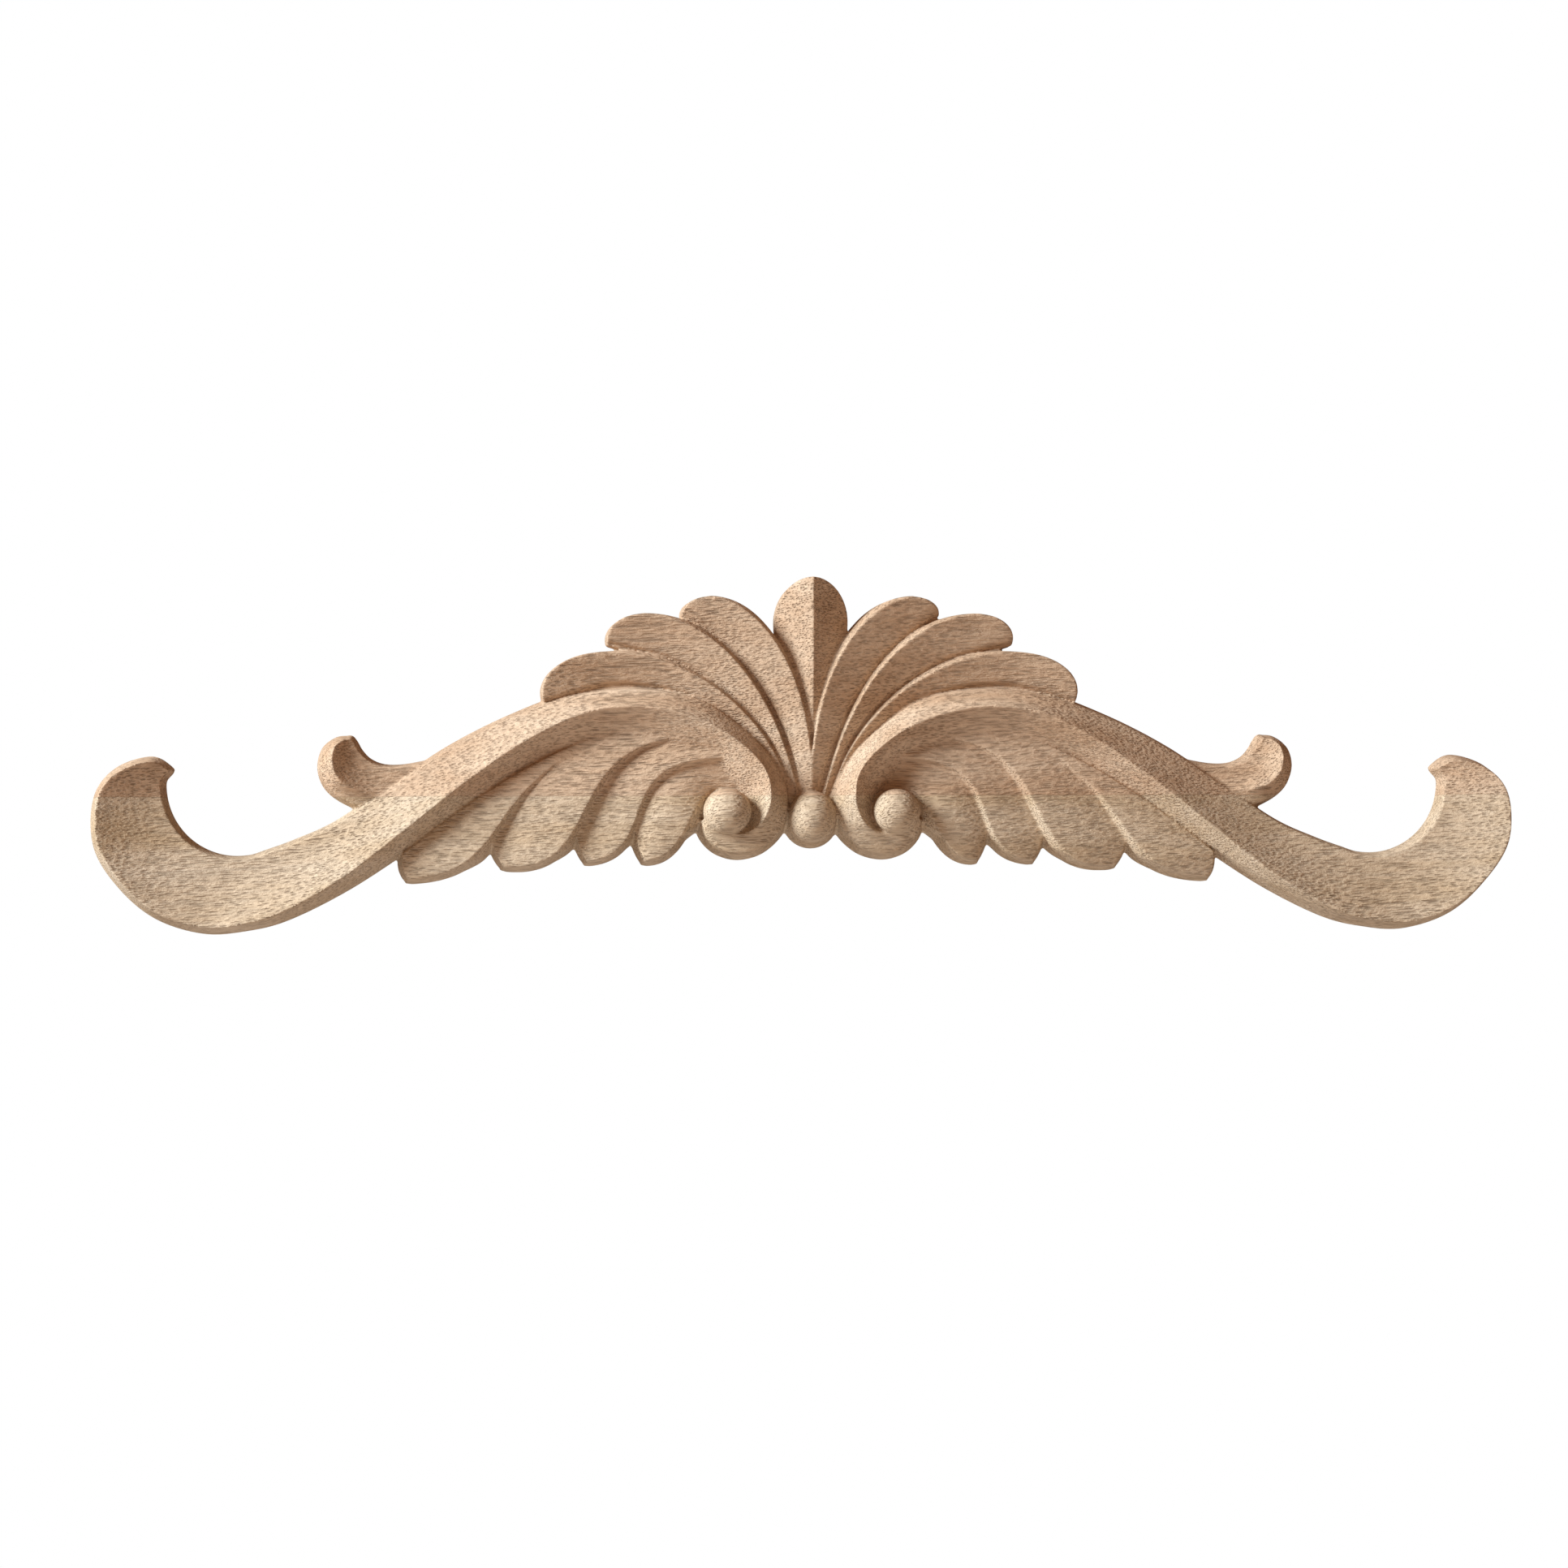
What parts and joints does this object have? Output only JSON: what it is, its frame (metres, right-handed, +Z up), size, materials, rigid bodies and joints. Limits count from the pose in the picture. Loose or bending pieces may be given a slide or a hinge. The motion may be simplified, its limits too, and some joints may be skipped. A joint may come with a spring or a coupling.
{
  "type": "carved wooden crest onlay",
  "caption": "Long symmetric carved crest with a flat back: a ridged shell over a small ball, and a scroll to each side that ends in an open hook, with feathers below it.",
  "frame": {"origin": "on the flat back, on the centre line and half way up the outline", "axes": "+X along the length, +Z up towards the shell's top, front towards -Y, the back's normal is +Y"},
  "size_m": [0.4, 0.018, 0.0989],
  "materials": {
    "bare_wood": "raw, unfinished hardwood with short dark pores, grain along +X"
  },
  "bodies": {
    "root": {"carved_onlay": "bare_wood"}
  },
  "joints": []
}
